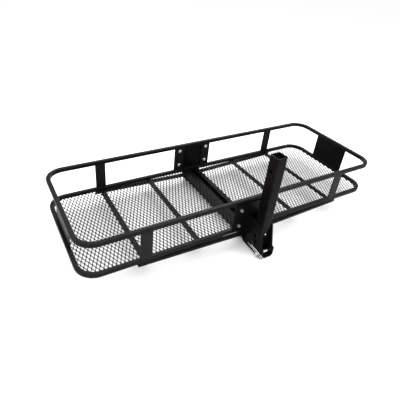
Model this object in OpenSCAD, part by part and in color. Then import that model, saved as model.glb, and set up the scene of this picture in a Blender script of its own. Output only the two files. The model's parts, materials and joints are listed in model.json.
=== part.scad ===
// Folding hitch cargo carrier: a two-piece steel basket with an expanded-metal floor,
// a main beam under the floor and a folding shank for a square hitch receiver.
// Frame: mm, +Z up, +X along the basket, +Y away from the vehicle.
// The origin is the bottom centre of the carrier's box.

/* [Basket] */
// Outside length of the basket
basket_l = 1600; // [1300:10:1800]
// Outside width of the basket
basket_w = 564; // [500:2:640]
// Height of the side, from the underside of the lower rail to the top of the upper rail
side_h = 173; // [150:1:220]
// Size of the square rail tube
rail = 19; // [16:1:22]
// Wall of the rail tube
rail_wall = 1.5; // [1:0.1:2]
// Outside radius of the bent corners
corner_r = 85; // [60:1:110]
// Distance of the outer posts from the middle
post_x = 530; // [460:1:560]
// Width of the flat posts
post_w = 50; // [40:1:60]
// Thickness of the flat posts
post_t = 6; // [4:0.5:6]
// Length of the solid plate in each end
end_plate_l = 212; // [160:2:260]
// Thickness of the solid plate in each end
end_plate_t = 3; // [2:0.5:4]

/* [Floor] */
// Height of the lower rails above the underside of the main beam
deck_z = 72; // [68:1:90]
// Thickness of the floor sheet
mesh_t = 1.5; // [1:0.1:3]
// Width of the flat floor bars
bar_w = 25; // [20:1:30]
// Thickness of the flat floor bars
bar_t = 5; // [4:0.5:6]
// Distance of the inner floor bars from the middle
inner_bar_x = 272; // [200:1:350]
// Gap between the floor sheets of the two halves
seam = 28; // [10:1:40]

/* [Braces] */
// Size of the square brace tube
brace = 17; // [12:1:18]
// Wall of the brace tube
brace_wall = 1.5; // [1:0.1:2]
// How far each brace drops from its outer end to the middle
brace_drop = 20; // [16:1:20]
// Distance of the outer ends of the braces from the middle
brace_x = 562; // [555:1:570]

/* [Middle joint] */
// Width of the joint plates
plate_w = 220; // [200:2:240]
// Thickness of the joint plates
plate_t = 6; // [4:0.5:8]
// Distance of the joint bolts from the middle
bolt_x = 82; // [78:1:84]
// Height between the upper and lower joint bolts
bolt_pitch = 86; // [70:1:96]
// Diameter of the joint bolts
bolt_d = 8; // [6:1:8]

/* [Hitch] */
// Size of the square shank tube
shank = 50.8; // [50.8]
// Wall of the shank tube
shank_wall = 4.8; // [3:0.1:6]
// Length of the shank above its pivot
shank_reach = 439; // [380:1:480]
// Distance of the receiver pin hole from the end of the shank
receiver_hole = 70; // [60:1:90]
// Wall of the main beam
beam_wall = 3; // [2.5:0.1:4]
// Thickness of the cradle plates
ear_t = 6; // [5:0.5:8]
// Height of the cradle plates
ear_h = 160; // [130:1:180]
// Distance from the front joint plate to the pivot
pivot_out = 64; // [62:1:66]
// Distance from the pivot to the hole that locks the shank
lock_arm = 34; // [30:1:40]
// Diameter of the pivot bolt
pivot_d = 12.7; // [12:0.1:13]
// Diameter of the hitch pin
pin_d = 15.88; // [15.5:0.01:15.9]
// Distance of the parked hitch pin in front of the pivot
pin_out = 42; // [40:1:44]

/* [Hidden] */
$fn = 48;

LEFT = -1;
RIGHT = 1;
FRONT = -1;
REAR = 1;
PAINT = "#1b1b1d";
ZINC = "#b9bcc0";

half_l = basket_l / 2;
half_w = basket_w / 2;
rail_r = rail / 6;
end_gap = 0.5;
deck_gap = 0.3;
weld_gap = 0.15;
fit = 0.08;

floor_z = deck_z + 2;
inner_w = basket_w - 2 * rail - 2 * deck_gap;
seam_wall = 2;
post_z = deck_z + rail;
post_h = side_h - 2 * rail;
upper_z = deck_z + side_h - rail;
bolt_z = post_z + post_h / 2;

beam = shank;
beam_r = beam / 10;
plate_out_y = half_w + plate_t;
plate_neck_w = 114;
plate_foot_w = 62;
plate_corner_r = 12;
beam_front_y = -plate_out_y - 32;

washer_t = 1.6;
nut_t = 6.8;
bolt_tail = 3;
head_h = 4.8;
head_r = bolt_d * 1.25;
bolt_end_y = plate_out_y + washer_t + nut_t + bolt_tail;

side_play = 0.8;
ear_in_x = shank / 2 + side_play;
ear_out_x = ear_in_x + ear_t;
pivot_y = -plate_out_y - pivot_out;
pin_r = pin_d / 2;
pin_gap = 0.36;
pin_z = 20;
pivot_z = pin_z + pin_r + pin_gap + shank / 2;
pin_y = pivot_y - pin_out;
lock_hole_r = 8.2;
pivot_head_t = 8;
pivot_nut_t = 12;
pivot_hex_r = 11;
screw_z = pivot_z + 53;
screw_r = 2.5;
screw_head_r = 4;
screw_head_h = 2.5;
pin_tip = 13;
pin_head_t = 4;
pin_head_r = 12;
web_t = 6;

wire_r = 1.6;
clip_x = -ear_out_x - 7.3;
clip_tilt = 7.5;
clip_tail = 70;
clip_over_l = 48;
clip_bend_at = 52;
clip_bend_r = (pin_r + wire_r + deck_gap) / 2;

front_end_y = pin_y - clip_bend_at * cos(clip_tilt) - clip_bend_r * sin(clip_tilt)
    - clip_bend_r - wire_r;
middle_y = (front_end_y + bolt_end_y) / 2;

// Moves a sub-part from the basket's own middle to the frame of the whole carrier
module placed() {
    translate([0, -middle_y, 0]) children();
}

// Square with round corners, centred
module round_square(size, r) {
    square([size, size - 2 * r], center = true);
    square([size - 2 * r, size], center = true);
    for (x = [-1, 1], y = [-1, 1])
        translate([x * (size / 2 - r), y * (size / 2 - r)]) circle(r);
}

// Section of a square tube
module tube_section(size, wall, r) {
    difference() {
        round_square(size, r);
        round_square(size - 2 * wall, r - wall * 0.6);
    }
}

// Straight square tube along +X, centred on the axis
module tube_x(length, size, wall, r) {
    rotate([90, 0, 90]) linear_extrude(length) tube_section(size, wall, r);
}

// One U-shaped rail: two long runs, two bent corners and the run across the end
module u_rail(side, z) {
    bend_x = half_l - corner_r;
    bend_y = half_w - corner_r;
    color(PAINT) placed() mirror([side < 0 ? 1 : 0, 0, 0])
        translate([0, 0, z + rail / 2]) {
            for (s = [FRONT, REAR])
                translate([end_gap, s * (half_w - rail / 2), 0])
                    tube_x(bend_x - end_gap, rail, rail_wall, rail_r);
            for (s = [FRONT, REAR])
                translate([bend_x, s * bend_y, 0])
                    rotate([0, 0, s < 0 ? -90 : 0])
                        rotate_extrude(angle = 90, $fn = 96)
                            translate([corner_r - rail / 2, 0]) tube_section(rail, rail_wall, rail_r);
            translate([half_l - rail / 2, -bend_y, 0]) rotate([0, 0, 90])
                tube_x(2 * bend_y, rail, rail_wall, rail_r);
        }
}

// Flat upright between the rails, flush with their outside
module post(side, face) {
    color(PAINT) placed()
        translate([side * post_x - post_w / 2, face > 0 ? half_w - post_t : -half_w, post_z])
            cube([post_w, post_t, post_h]);
}

// Flat upright at the middle joint, drilled for two bolts
module joint_post(side, face) {
    color(PAINT) placed() difference() {
        translate([side * bolt_x - post_w / 2, face > 0 ? half_w - post_t : -half_w, post_z])
            cube([post_w, post_t, post_h]);
        joint_holes();
    }
}

// Solid plate in the middle of one end, on the inner edge of the rails' flat faces
module end_plate(side) {
    inner_x = half_l - rail + rail_r;
    color(PAINT) placed() mirror([side < 0 ? 1 : 0, 0, 0])
        translate([inner_x, -end_plate_l / 2, post_z])
            cube([end_plate_t, end_plate_l, post_h]);
}

// Flat bar under the floor sheet, welded between the lower rails
module floor_bar(x) {
    color(PAINT) placed()
        translate([x - bar_w / 2, -inner_w / 2, floor_z - bar_t])
            cube([bar_w, inner_w, bar_t]);
}

// Rectangular tube under the inner edge of one floor sheet, resting on the main beam
module seam_bar(side) {
    tall = floor_z - beam - weld_gap;
    color(PAINT) placed() mirror([side < 0 ? 1 : 0, 0, 0])
        translate([seam / 2, -inner_w / 2, floor_z - tall]) difference() {
            cube([bar_w, inner_w, tall]);
            translate([seam_wall, -1, seam_wall])
                cube([bar_w - 2 * seam_wall, inner_w + 2, tall - 2 * seam_wall]);
        }
}

// Floor sheet of one half, inside the lower rail
module mesh(side) {
    inner_r = corner_r - rail;
    edge_x = half_l - rail - deck_gap;
    edge_y = inner_w / 2;
    color(PAINT) placed() mirror([side < 0 ? 1 : 0, 0, 0])
        translate([0, 0, floor_z]) linear_extrude(mesh_t) {
            translate([seam / 2, -edge_y]) square([edge_x - inner_r - seam / 2, 2 * edge_y]);
            translate([seam / 2, -edge_y + inner_r]) square([edge_x - seam / 2, 2 * (edge_y - inner_r)]);
            for (y = [-1, 1])
                translate([edge_x - inner_r, y * (edge_y - inner_r)]) circle(inner_r, $fn = 96);
        }
}

// Sloping tube under one long run of the lower rail, down to the main beam
module side_brace(side, face) {
    start_x = beam / 2 + 2 * weld_gap;
    run = brace_x - start_x;
    slope = atan(brace_drop / run);
    color(PAINT) placed() mirror([side < 0 ? 1 : 0, 0, 0])
        translate([brace_x, face * (half_w - brace / 2), deck_z - weld_gap - brace / 2])
            rotate([0, slope, 180])
                tube_x(run / cos(slope) - brace * tan(slope), brace, brace_wall, brace / 6);
}

// Square main beam from the rear joint plate through the front one
module main_beam() {
    color(PAINT) placed() translate([0, beam_front_y, beam / 2]) rotate([0, 0, 90])
        tube_x(half_w - beam_front_y, beam, beam_wall, beam_r);
}

// Outline of a joint plate: a wide panel with a neck that narrows down to the beam
module plate_outline() {
    top = upper_z + 3;
    low = deck_z + 12;
    top_w = plate_w - 2 * plate_corner_r;
    translate([-plate_w / 2, low]) square([plate_w, top - plate_corner_r - low]);
    translate([-top_w / 2, low]) square([top_w, top - low]);
    for (x = [-1, 1])
        translate([x * top_w / 2, top - plate_corner_r]) circle(plate_corner_r);
    polygon([
        [-plate_neck_w / 2, low + 1], [-plate_neck_w / 2, deck_z - 12], [-plate_foot_w / 2, 0],
        [plate_foot_w / 2, 0], [plate_neck_w / 2, deck_z - 12], [plate_neck_w / 2, low + 1],
    ]);
}

// Bolt holes of the middle joint, through both sides of the basket
module joint_holes() {
    for (x = [-1, 1], z = [-1, 1])
        translate([x * bolt_x, 0, bolt_z + z * bolt_pitch / 2]) rotate([90, 0, 0])
            cylinder(d = bolt_d + 0.4, h = 2 * bolt_end_y, center = true);
}

// Plate that bolts the two halves together, outside the rails
module joint_plate(face) {
    color(PAINT) placed() difference() {
        translate([0, face > 0 ? plate_out_y : -half_w, 0]) rotate([90, 0, 0])
            linear_extrude(plate_t) plate_outline();
        joint_holes();
        if (face < 0) beam_passage();
    }
}

// Opening that lets the main beam through the front joint plate
module beam_passage() {
    translate([0, -plate_out_y - 1, beam / 2]) rotate([-90, 0, 0])
        linear_extrude(plate_t + 2) round_square(beam + 2 * weld_gap, beam_r);
}

// Repeats a fastener at the eight joint bolts, pointing outward along +Z of the child
module at_joint_bolts(y) {
    placed() for (face = [FRONT, REAR], x = [-1, 1], z = [-1, 1])
        translate([x * bolt_x, face * y, bolt_z + z * bolt_pitch / 2])
            rotate([face < 0 ? 90 : -90, 0, 0]) children();
}

// Round-head bolts, heads inside the basket
module joint_bolts() {
    inside_y = half_w - post_t;
    dome_r = (head_r * head_r + head_h * head_h) / (2 * head_h);
    color(ZINC) at_joint_bolts(inside_y) {
        cylinder(d = bolt_d, h = bolt_end_y - inside_y);
        intersection() {
            translate([0, 0, dome_r - head_h]) sphere(dome_r);
            translate([0, 0, -head_h]) cylinder(r = head_r, h = head_h);
        }
    }
}

module joint_washers() {
    color(ZINC) at_joint_bolts(plate_out_y) difference() {
        cylinder(r = bolt_d, h = washer_t);
        translate([0, 0, -1]) cylinder(d = bolt_d + 0.2, h = washer_t + 2);
    }
}

module joint_nuts() {
    color(ZINC) at_joint_bolts(plate_out_y + washer_t) difference() {
        cylinder(r = bolt_d * 0.94, h = nut_t, $fn = 6);
        translate([0, 0, -1]) cylinder(d = bolt_d + 0.1, h = nut_t + 2);
    }
}

// Hole along X through the hitch parts
module cross_hole(y, z, r) {
    translate([0, y, z]) rotate([0, 90, 0]) cylinder(r = r, h = 4 * shank, center = true);
}

// Side plate of the cradle that holds the shank
module cradle_plate(side) {
    rear_y = -plate_out_y - weld_gap;
    toe_y = pin_y - 24;
    brow_y = pivot_y - 29;
    color(PAINT) placed() difference() {
        translate([side > 0 ? ear_in_x : -ear_out_x, 0, 0]) rotate([90, 0, 90])
            linear_extrude(ear_t) polygon([
                [rear_y, 0], [toe_y + 8, 0], [toe_y, 8], [toe_y, pivot_z - 4], [toe_y + 12, pivot_z - 2],
                [brow_y, ear_h - 9], [brow_y + 9, ear_h], [rear_y, ear_h],
            ]);
        cross_hole(pivot_y, pivot_z, pivot_d / 2 + fit);
        cross_hole(pivot_y, pivot_z + lock_arm, lock_hole_r);
        cross_hole(pin_y, pin_z, pin_r + fit);
    }
}

// Bottom plate between the two cradle plates
module cradle_web() {
    front_y = pin_y - 23;
    color(PAINT) placed()
        translate([-ear_in_x + weld_gap, front_y, 0])
            cube([2 * (ear_in_x - weld_gap), beam_front_y - weld_gap - front_y, web_t]);
}

module pivot_bolt() {
    tail = 3;
    color(PAINT) placed() translate([-ear_out_x, pivot_y, pivot_z]) rotate([0, 90, 0]) {
        cylinder(d = pivot_d, h = 2 * ear_out_x + washer_t + pivot_nut_t + tail);
        translate([0, 0, -pivot_head_t]) cylinder(r = pivot_hex_r, h = pivot_head_t, $fn = 6);
    }
}

module pivot_washer() {
    color(PAINT) placed() translate([ear_out_x, pivot_y, pivot_z]) rotate([0, 90, 0]) difference() {
        cylinder(d = 2 * pivot_d, h = washer_t);
        translate([0, 0, -1]) cylinder(d = pivot_d + 0.2, h = washer_t + 2);
    }
}

module pivot_nut() {
    color(PAINT) placed() translate([ear_out_x + washer_t, pivot_y, pivot_z]) rotate([0, 90, 0])
        difference() {
            cylinder(r = pivot_hex_r, h = pivot_nut_t, $fn = 6);
            translate([0, 0, -1]) cylinder(d = pivot_d + 0.1, h = pivot_nut_t + 2);
        }
}

// Square shank, upright, with its lower end rounded about the pivot
module shank_tube() {
    color(PAINT) placed() difference() {
        intersection() {
            translate([0, pivot_y, pivot_z - shank / 2])
                linear_extrude(shank_reach + shank / 2) tube_section(shank, shank_wall, shank / 9);
            union() {
                cross_hole(pivot_y, pivot_z, shank / 2);
                translate([-shank, pivot_y - shank, pivot_z])
                    cube([2 * shank, 2 * shank, shank_reach + 1]);
            }
        }
        cross_hole(pivot_y, pivot_z, pivot_d / 2 + fit);
        cross_hole(pivot_y, pivot_z + lock_arm, lock_hole_r);
        cross_hole(pivot_y, pivot_z + shank_reach - receiver_hole, lock_hole_r);
        translate([0, pivot_y - shank / 2 - 1, screw_z]) rotate([-90, 0, 0])
            cylinder(r = screw_r, h = shank_wall + 2);
    }
}

// Button-head screw in the front of the shank
module shank_screw() {
    color(ZINC) placed() translate([0, pivot_y - shank / 2, screw_z]) rotate([90, 0, 0]) {
        cylinder(r = screw_head_r, h = screw_head_h);
        translate([0, 0, -shank_wall]) cylinder(r = screw_r, h = shank_wall);
    }
}

// Headed pin, parked in the lower front hole of the cradle
module hitch_pin() {
    tip_x = -ear_out_x - pin_tip;
    bevel = 2;
    color(ZINC) placed() translate([0, pin_y, pin_z]) difference() {
        rotate([0, 90, 0]) {
            translate([0, 0, tip_x + bevel]) cylinder(r = pin_r, h = ear_out_x + end_gap - tip_x - bevel);
            translate([0, 0, tip_x]) cylinder(r1 = pin_r - bevel, r2 = pin_r, h = bevel);
            translate([0, 0, ear_out_x + end_gap]) cylinder(r = pin_head_r, h = pin_head_t);
        }
        translate([clip_x, 0, 0]) rotate([90 + clip_tilt, 0, 0])
            cylinder(r = wire_r + 0.4, h = 4 * pin_r, center = true);
    }
}

// Straight length of wire along +X, carrying on with the children at its end
module wire_line(length) {
    rotate([90, 0, 90]) linear_extrude(length) circle(wire_r, $fn = 24);
    translate([length, 0, 0]) children();
}

// Half-round bend that turns the wire back on its right, carrying on with the children at its end
module wire_turn(r) {
    translate([0, -r, 0]) {
        rotate([0, 0, -90]) rotate_extrude(angle = 180) translate([r, 0]) circle(wire_r, $fn = 24);
        translate([0, -r, 0]) rotate([0, 0, 180]) children();
    }
}

// Spring clip: a straight leg through the pin, a round end, and a leg over the top of the pin
module pin_clip() {
    color(ZINC) placed() translate([clip_x, pin_y, pin_z]) rotate([clip_tilt, 0, 0])
        rotate([90, 0, 90]) translate([clip_tail, 0, 0]) rotate([0, 0, 180])
            wire_line(clip_tail + clip_bend_at)
                wire_turn(clip_bend_r)
                    wire_line(clip_bend_at + clip_over_l);
}

u_rail(LEFT, upper_z);  // left_upper_rail
u_rail(RIGHT, upper_z);  // right_upper_rail
u_rail(LEFT, deck_z);  // left_lower_rail
u_rail(RIGHT, deck_z);  // right_lower_rail
post(LEFT, FRONT);  // left_front_post
post(LEFT, REAR);  // left_rear_post
post(RIGHT, FRONT);  // right_front_post
post(RIGHT, REAR);  // right_rear_post
joint_post(LEFT, FRONT);  // left_front_joint_post
joint_post(LEFT, REAR);  // left_rear_joint_post
joint_post(RIGHT, FRONT);  // right_front_joint_post
joint_post(RIGHT, REAR);  // right_rear_joint_post
end_plate(LEFT);  // left_end_plate
end_plate(RIGHT);  // right_end_plate
floor_bar(-post_x);  // left_outer_bar
floor_bar(-inner_bar_x);  // left_inner_bar
seam_bar(LEFT);  // left_seam_bar
floor_bar(post_x);  // right_outer_bar
floor_bar(inner_bar_x);  // right_inner_bar
seam_bar(RIGHT);  // right_seam_bar
mesh(LEFT);  // left_mesh
mesh(RIGHT);  // right_mesh
side_brace(LEFT, FRONT);  // left_front_brace
side_brace(LEFT, REAR);  // left_rear_brace
side_brace(RIGHT, FRONT);  // right_front_brace
side_brace(RIGHT, REAR);  // right_rear_brace
main_beam();
joint_plate(FRONT);  // front_joint_plate
joint_plate(REAR);  // rear_joint_plate
joint_bolts();
joint_washers();
joint_nuts();
cradle_plate(LEFT);  // left_cradle_plate
cradle_plate(RIGHT);  // right_cradle_plate
cradle_web();
pivot_bolt();
pivot_washer();
pivot_nut();
shank_tube();
shank_screw();
hitch_pin();
pin_clip();
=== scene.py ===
"""Looks for the folding hitch cargo carrier: powder-coated steel, zinc hardware and a diamond-mesh floor."""
import json
import math
import random

import bmesh
import bpy
from mathutils import Euler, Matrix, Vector


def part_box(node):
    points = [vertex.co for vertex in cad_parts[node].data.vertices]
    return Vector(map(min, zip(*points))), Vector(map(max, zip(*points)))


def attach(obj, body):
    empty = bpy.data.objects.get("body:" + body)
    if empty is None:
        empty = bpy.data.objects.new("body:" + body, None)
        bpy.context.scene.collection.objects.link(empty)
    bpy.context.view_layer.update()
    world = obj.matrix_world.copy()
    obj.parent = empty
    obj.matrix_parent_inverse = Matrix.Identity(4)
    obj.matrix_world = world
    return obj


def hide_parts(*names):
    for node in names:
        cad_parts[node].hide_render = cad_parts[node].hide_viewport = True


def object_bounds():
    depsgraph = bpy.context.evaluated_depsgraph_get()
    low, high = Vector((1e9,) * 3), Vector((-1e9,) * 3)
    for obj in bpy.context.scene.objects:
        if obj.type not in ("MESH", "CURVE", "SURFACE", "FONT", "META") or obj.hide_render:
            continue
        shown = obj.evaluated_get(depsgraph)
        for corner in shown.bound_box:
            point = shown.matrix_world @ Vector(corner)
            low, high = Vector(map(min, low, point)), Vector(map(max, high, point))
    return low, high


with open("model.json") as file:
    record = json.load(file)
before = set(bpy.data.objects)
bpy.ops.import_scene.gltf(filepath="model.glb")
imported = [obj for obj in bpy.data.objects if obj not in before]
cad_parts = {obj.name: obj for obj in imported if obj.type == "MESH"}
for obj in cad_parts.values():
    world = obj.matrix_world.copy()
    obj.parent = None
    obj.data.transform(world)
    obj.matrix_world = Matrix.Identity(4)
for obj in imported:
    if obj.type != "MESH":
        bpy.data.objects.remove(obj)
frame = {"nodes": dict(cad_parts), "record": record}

cad_low, cad_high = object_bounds()
nodes = frame["nodes"]
MM = 0.001
SIDES = ("left", "right")
ENDS = ("front", "rear")


# ---------------------------------------------------------------- materials

DUST = (0.05, 0.05, 0.053, 1.0)
SCRATCH_DEPTH = 0.02 * MM


def new_material(name):
    """An empty node material and its main shader."""
    material = bpy.data.materials.new(name)
    material.use_nodes = True
    return material, material.node_tree.nodes["Principled BSDF"]


def noise(tree, scale, detail=3.0, roughness=0.5):
    """Noise over the part's own coordinates, which are metres."""
    texture = tree.nodes.new("ShaderNodeTexNoise")
    texture.inputs["Scale"].default_value = scale
    texture.inputs["Detail"].default_value = detail
    texture.inputs["Roughness"].default_value = roughness
    place = tree.nodes.new("ShaderNodeTexCoord")
    tree.links.new(place.outputs["Object"], texture.inputs["Vector"])
    return texture.outputs["Fac"]


def spread(tree, value, low, high, start=0.3, stop=0.7):
    """A value taken from start..stop to low..high."""
    ramp = tree.nodes.new("ShaderNodeMapRange")
    ramp.inputs["From Min"].default_value = start
    ramp.inputs["From Max"].default_value = stop
    ramp.inputs["To Min"].default_value = low
    ramp.inputs["To Max"].default_value = high
    tree.links.new(value, ramp.inputs["Value"])
    return ramp.outputs["Result"]


def tint(tree, value, dark, light):
    """A colour between dark and light."""
    mix = tree.nodes.new("ShaderNodeMix")
    mix.data_type = "RGBA"
    mix.inputs["A"].default_value = (*dark, 1.0)
    mix.inputs["B"].default_value = (*light, 1.0)
    tree.links.new(value, mix.inputs["Factor"])
    return mix.outputs["Result"]


def dust(tree, base, specks):
    """Dust laid over a base colour where the specks are high."""
    mix = tree.nodes.new("ShaderNodeMix")
    mix.data_type = "RGBA"
    mix.inputs["B"].default_value = DUST
    tree.links.new(base, mix.inputs["A"])
    tree.links.new(spread(tree, specks, 0.0, 0.5, 0.62, 0.75), mix.inputs["Factor"])
    return mix.outputs["Result"]


def relief(tree, height, depth, below=None):
    """A bump of that depth in metres, over another bump."""
    bump = tree.nodes.new("ShaderNodeBump")
    bump.inputs["Strength"].default_value = 1.0
    bump.inputs["Distance"].default_value = depth
    tree.links.new(height, bump.inputs["Height"])
    if below:
        tree.links.new(below, bump.inputs["Normal"])
    return bump.outputs["Normal"]


def powder_coat(name, dark, light, gloss, grain_mm, grain_depth_mm, shine):
    """Baked black powder: a fine orange peel, cloudy patches, smudges and small bright specks. On the shank,
    the pale side of the patches is a painted warm reflection.
    """
    material, shader = new_material(name)
    tree = material.node_tree
    patches = noise(tree, 9.0, 6.0, 0.6)
    specks = noise(tree, 900.0, 2.0)
    smudges = noise(tree, 40.0, 5.0, 0.65)
    waves = noise(tree, 120.0, 2.0)
    grain = noise(tree, 1.0 / (grain_mm * MM), 2.0)
    grain_depth = grain_depth_mm * MM
    base = tint(tree, spread(tree, patches, 0.0, 1.0, 0.35, 0.65), dark, light)
    tree.links.new(dust(tree, base, specks), shader.inputs["Base Color"])
    tree.links.new(spread(tree, smudges, gloss - 0.06, gloss + 0.1), shader.inputs["Roughness"])
    long_waves = relief(tree, waves, grain_depth * 2)
    tree.links.new(relief(tree, grain, grain_depth, long_waves), shader.inputs["Normal"])
    shader.inputs["Specular IOR Level"].default_value = shine
    return material


def zinc_plate(name, dark, light, gloss):
    """Bright zinc: cloudy grey metal with a faint blue cast and fine scratches."""
    material, shader = new_material(name)
    tree = material.node_tree
    clouds = noise(tree, 160.0, 5.0, 0.6)
    scratches = noise(tree, 2500.0, 2.0)
    tree.links.new(tint(tree, spread(tree, clouds, 0.0, 1.0), dark, light), shader.inputs["Base Color"])
    tree.links.new(spread(tree, clouds, gloss - 0.07, gloss + 0.1), shader.inputs["Roughness"])
    tree.links.new(relief(tree, scratches, SCRATCH_DEPTH), shader.inputs["Normal"])
    shader.inputs["Metallic"].default_value = 1.0
    return material


def floor_material():
    """Plain pale studio floor."""
    material, shader = new_material("studio_floor")
    shader.inputs["Base Color"].default_value = (0.93, 0.93, 0.93, 1.0)
    shader.inputs["Roughness"].default_value = 0.9
    shader.inputs["Specular IOR Level"].default_value = 0.0
    return material


BLACK = (0.002, 0.002, 0.0024)
SOFT_BLACK = (0.0045, 0.0045, 0.0052)
DUSTY_BLACK = (0.008, 0.008, 0.0088)
# Painted reflection: a brownish black standing in for warm light reflected off the shank's front face
BLACK_WITH_PAINTED_WARM_SHEEN = (0.0065, 0.0048, 0.004)

# Name: dark and light colour, gloss, size and depth of the grain in mm, shine
PAINTS = {
    "rail_paint": (BLACK, SOFT_BLACK, 0.46, 1.2, 0.02, 0.09),
    "frame_paint": (BLACK, SOFT_BLACK, 0.45, 1.2, 0.025, 0.07),
    "plate_paint": (BLACK, SOFT_BLACK, 0.34, 1.4, 0.02, 0.04),
    "post_paint": (SOFT_BLACK, DUSTY_BLACK, 0.5, 0.9, 0.08, 0.11),
    "floor_paint": (BLACK, SOFT_BLACK, 0.4, 0.8, 0.03, 0.12),
    # The shank's lighter colour is a painted warm reflection, laid on in cloudy patches
    "shank_paint": (BLACK, BLACK_WITH_PAINTED_WARM_SHEEN, 0.2, 1.6, 0.015, 0.03),
    "black_hardware": (SOFT_BLACK, DUSTY_BLACK, 0.38, 0.6, 0.02, 0.1),
}

# Name: dark and light colour, gloss
ZINCS = {
    "zinc_bolts": ((0.55, 0.56, 0.58), (0.8, 0.81, 0.83), 0.24),
    "zinc_nuts": ((0.5, 0.51, 0.53), (0.74, 0.75, 0.77), 0.28),
    "zinc_pin": ((0.6, 0.61, 0.64), (0.86, 0.87, 0.9), 0.2),
}

MATERIALS = {name: powder_coat(name, *recipe) for name, recipe in PAINTS.items()}
MATERIALS.update({name: zinc_plate(name, *recipe) for name, recipe in ZINCS.items()})

SLOT_OF = {part["node"]: part["material_slot"] for part in frame["record"]["subparts"]}


def dress(piece, slot_name):
    """Gives a piece its material."""
    piece.data.materials.clear()
    piece.data.materials.append(MATERIALS[slot_name])


for node_name, node in nodes.items():
    dress(node, SLOT_OF[node_name])


# ---------------------------------------------------------------- softened edges

# The first word found in a node's name gives the width of its soft edges
EDGE_MM = {
    "post": 0.7,
    "end_plate": 0.6,
    "bar": 0.7,
    "joint_plate": 0.8,
    "cradle": 0.8,
    "joint_nuts": 0.4,
    "pivot": 0.5,
}


def soften(node, width_mm):
    """Rounds the cut edges of a plate or bar."""
    bevel = node.modifiers.new("soft_edges", "BEVEL")
    bevel.width = width_mm * MM
    bevel.segments = 2
    bevel.limit_method = "ANGLE"
    bevel.angle_limit = math.radians(40)
    bevel.use_clamp_overlap = True


for node_name, node in nodes.items():
    for word, width_mm in EDGE_MM.items():
        if word in node_name:
            soften(node, width_mm)
            break


# ---------------------------------------------------------------- expanded-metal floor

CELL_X = 17.3 * MM
CELL_Y = 34.9 * MM
SHEET_T = 1.6 * MM
TWIST = 0.55 * MM
MERGE = 0.01 * MM
RAIL_BEND_R = 85 * MM

# A quarter of the diamond hole's outline, as fractions of a cell, from its side to its end
QUARTER_HOLE = ((0.327, 0.0), (0.332, 0.071), (0.18, 0.249), (0.062, 0.334))

rail_low, rail_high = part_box("left_lower_rail")
corner_r = RAIL_BEND_R - (rail_high.z - rail_low.z)
basket_y = (rail_low.y + rail_high.y) / 2


def hole_outline():
    """The diamond hole as fractions of a cell, anticlockwise from +X."""
    right_top = [Vector(p) for p in QUARTER_HOLE]
    left_top = [Vector((-p.x, p.y)) for p in reversed(right_top)]
    left_low = [Vector((-p.x, -p.y)) for p in right_top[1:]]
    right_low = [Vector((p.x, -p.y)) for p in reversed(right_top[1:])]
    return right_top + left_top + left_low + right_low


def cell_edge(point):
    """The place on the diamond cell's own edge in the direction of a hole's corner."""
    reach = abs(point.x) / 0.5 + abs(point.y) / 0.5
    return point / reach


def in_sheet(centre, point, height):
    """A point given in fractions of a cell, as a place in the sheet."""
    return (centre.x + point.x * CELL_X, centre.y + point.y * CELL_Y, height)


def add_cell(sheet, centre, outline, top):
    """One diamond of the sheet: a twisted ring of metal round its hole."""
    inner = []
    outer = []
    for point in outline:
        lift = TWIST * (1 if point.x > 0 else -1)
        inner.append(sheet.verts.new(in_sheet(centre, point, top + lift)))
        outer.append(sheet.verts.new(in_sheet(centre, cell_edge(point), top)))
    count = len(outline)
    for i in range(count):
        j = (i + 1) % count
        sheet.faces.new((inner[i], outer[i], outer[j], inner[j]))


def trim(sheet, low, high, side):
    """Cuts the sheet off at the rail, with its outer corners taken off inside the rail's bend."""
    outward = -1 if side == "left" else 1
    end_x = low.x if side == "left" else high.x
    cuts = [
        (Vector((low.x, 0, 0)), Vector((-1, 0, 0))),
        (Vector((high.x, 0, 0)), Vector((1, 0, 0))),
        (Vector((0, low.y, 0)), Vector((0, -1, 0))),
        (Vector((0, high.y, 0)), Vector((0, 1, 0))),
    ]
    for y, way in ((low.y, -1), (high.y, 1)):
        for turn in (25, 45, 65):
            angle = math.radians(turn)
            normal = Vector((outward * math.cos(angle), way * math.sin(angle), 0))
            centre = Vector((end_x - outward * corner_r, y - way * corner_r, 0))
            cuts.append((centre + normal * corner_r, normal))
    for point, normal in cuts:
        every = sheet.verts[:] + sheet.edges[:] + sheet.faces[:]
        bmesh.ops.bisect_plane(
            sheet, geom=every, dist=1e-7, plane_co=point, plane_no=normal, clear_outer=True)


def mesh_sheet(side):
    """The diamond mesh of one half, trimmed to the space inside the lower rail."""
    low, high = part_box(side + "_mesh")
    outline = hole_outline()
    sheet = bmesh.new()
    rows = math.ceil((high.y - low.y) / CELL_Y) + 1
    columns = math.ceil((high.x - low.x) / CELL_X) + 1
    for row in range(2 * rows + 1):
        for column in range(columns + 1):
            x = low.x + (column + 0.5 * (row % 2)) * CELL_X
            y = low.y + 0.5 * row * CELL_Y
            add_cell(sheet, Vector((x, y)), outline, low.z + SHEET_T + TWIST)
    bmesh.ops.remove_doubles(sheet, verts=sheet.verts, dist=MERGE)
    trim(sheet, low, high, side)
    data = bpy.data.meshes.new(side + "_diamond_mesh")
    sheet.to_mesh(data)
    sheet.free()
    piece = bpy.data.objects.new(side + "_diamond_mesh", data)
    bpy.context.scene.collection.objects.link(piece)
    thick = piece.modifiers.new("metal", "SOLIDIFY")
    thick.thickness = SHEET_T
    thick.offset = -1.0
    return piece


for side_name in SIDES:
    diamond = mesh_sheet(side_name)
    dress(diamond, "floor_paint")
    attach(diamond, "carrier")
    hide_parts(side_name + "_mesh")


# ---------------------------------------------------------------- weld beads

BEAD_R = 1.7 * MM
BEAD_STEP = 1.6 * MM
RING = 8
SEAM_INSET = 2 * MM
SEAM_END = 38 * MM
SEAM_RUN = 40 * MM
ripple = random.Random(7)


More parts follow.
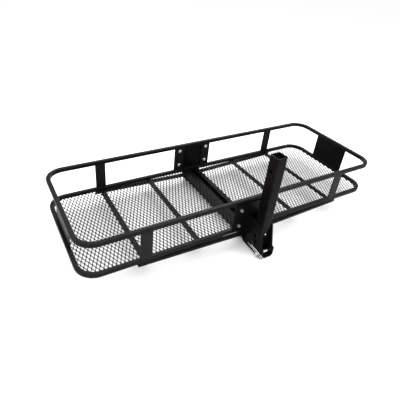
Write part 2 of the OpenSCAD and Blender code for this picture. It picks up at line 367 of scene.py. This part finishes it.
def add_bead(beads, start, end):
    """A rippled weld bead laid along a joint from start to end."""
    along = end - start
    steps = max(2, round(along.length / BEAD_STEP))
    across = along.cross(Vector((0, 0, 1)))
    if across.length < 1e-6:
        across = along.cross(Vector((0, 1, 0)))
    across.normalize()
    upward = across.cross(along).normalized()
    rings = []
    for i in range(steps + 1):
        taper = min(1.0, 0.45 + 0.3 * min(i, steps - i))
        radius = BEAD_R * taper * (0.86 + 0.2 * (i % 2) + 0.08 * ripple.random())
        centre = start + along * (i / steps)
        ring = []
        for k in range(RING):
            angle = 2 * math.pi * k / RING
            spoke = across * math.cos(angle) + upward * math.sin(angle)
            ring.append(beads.verts.new(centre + spoke * radius))
        rings.append(ring)
    for first, second in zip(rings, rings[1:]):
        for k in range(RING):
            m = (k + 1) % RING
            beads.faces.new((first[k], first[m], second[m], second[k]))
    beads.faces.new(list(reversed(rings[0])))
    beads.faces.new(rings[-1])


def post_seams():
    """The level seams where the posts and end plates meet the rails, on their inner faces."""
    seams = []
    for side in SIDES:
        for end in ENDS:
            for kind in ("post", "joint_post"):
                low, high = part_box(f"{side}_{end}_{kind}")
                y = high.y if end == "front" else low.y
                for z in (low.z, high.z):
                    seams.append((Vector((low.x + SEAM_INSET, y, z)), Vector((high.x - SEAM_INSET, y, z))))
        low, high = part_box(side + "_end_plate")
        x = high.x if side == "left" else low.x
        starts = (low.y, (low.y + high.y) / 2 - SEAM_RUN / 2, high.y - SEAM_RUN)
        for z in (low.z, high.z):
            for y in starts:
                seams.append((Vector((x, y + SEAM_INSET, z)), Vector((x, y + SEAM_END, z))))
    return seams


def cradle_seams():
    """The upright seams between the cradle plates and the front joint plate, and the beam's own."""
    seams = []
    plate_low, plate_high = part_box("front_joint_plate")
    for side in SIDES:
        low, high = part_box(side + "_cradle_plate")
        x = low.x if side == "left" else high.x
        bottom = Vector((x, plate_low.y, low.z + 6 * MM))
        seams.append((bottom, Vector((x, plate_low.y, high.z - 4 * MM))))
    beam_low, beam_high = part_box("main_beam")
    left = Vector((beam_low.x + 5 * MM, plate_high.y, beam_high.z))
    seams.append((left, Vector((beam_high.x - 5 * MM, plate_high.y, beam_high.z))))
    return seams


def brace_seams():
    """Short seams along the outer end of each brace."""
    seams = []
    for side in SIDES:
        under_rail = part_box(f"{side}_lower_rail")[0].z
        inward = 1 if side == "left" else -1
        for end in ENDS:
            low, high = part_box(f"{side}_{end}_brace")
            y = high.y if end == "front" else low.y
            x = low.x if side == "left" else high.x
            outer_end = Vector((x + inward * 3 * MM, y, under_rail))
            seams.append((outer_end, Vector((x + inward * 36 * MM, y, under_rail))))
    return seams


beads = bmesh.new()
for start, end in post_seams() + cradle_seams() + brace_seams():
    add_bead(beads, start, end)
bead_data = bpy.data.meshes.new("weld_beads")
beads.to_mesh(bead_data)
beads.free()
for face in bead_data.polygons:
    face.use_smooth = True
weld_beads = bpy.data.objects.new("weld_beads", bead_data)
bpy.context.scene.collection.objects.link(weld_beads)
dress(weld_beads, "plate_paint")
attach(weld_beads, "carrier")


# ---------------------------------------------------------------- studio

FLOOR_SIZE = 40.0
WORLD_STRENGTH = 1.05
OVERHEAD_PLACE = (0.2, basket_y + 0.6, 3.0)
BEHIND_PLACE = (1.8, basket_y + 2.6, 2.0)
CAMERA_FROM_BASKET = Vector((-0.9996, -1.2754, 1.1949))
CAMERA_TURN = (57.933, -4.238, -28.958)
CAMERA_LENS = 33.91
CAMERA_SHIFT = (0.0395, -0.069)


def studio_floor():
    """A wide pale floor under the part."""
    bpy.ops.mesh.primitive_plane_add(size=FLOOR_SIZE, location=(0, 0, cad_low.z))
    ground = bpy.context.object
    ground.name = "studio_floor"
    ground.data.materials.append(floor_material())


def softbox(name, place, target, size, power):
    """A square soft light aimed at a point."""
    lamp = bpy.data.lights.new(name, "AREA")
    lamp.shape = "SQUARE"
    lamp.size = size
    lamp.energy = power
    holder = bpy.data.objects.new(name, lamp)
    holder.location = place
    holder.rotation_euler = (Vector(target) - Vector(place)).to_track_quat("-Z", "Y").to_euler()
    bpy.context.scene.collection.objects.link(holder)


def studio_light():
    """Even white surroundings, with a soft box overhead and one behind."""
    world = bpy.data.worlds.new("studio")
    world.use_nodes = True
    backdrop = world.node_tree.nodes["Background"]
    backdrop.inputs["Color"].default_value = (1.0, 1.0, 1.0, 1.0)
    backdrop.inputs["Strength"].default_value = WORLD_STRENGTH
    bpy.context.scene.world = world
    bpy.context.scene.view_settings.view_transform = "Standard"
    softbox("overhead", OVERHEAD_PLACE, (0, basket_y, 0), 3.4, 130.0)
    softbox("behind", BEHIND_PLACE, (0, basket_y, 0.1), 1.8, 45.0)


def studio_camera():
    """The camera, high over the left front corner."""
    lens = bpy.data.cameras.new("camera")
    lens.lens = CAMERA_LENS
    lens.sensor_width = 36.0
    lens.shift_x, lens.shift_y = CAMERA_SHIFT
    camera = bpy.data.objects.new("camera", lens)
    camera.location = Vector((0, basket_y, 0)) + CAMERA_FROM_BASKET
    camera.rotation_euler = Euler([math.radians(a) for a in CAMERA_TURN], "XYZ")
    bpy.context.scene.collection.objects.link(camera)
    bpy.context.scene.camera = camera


studio_floor()
studio_light()
studio_camera()
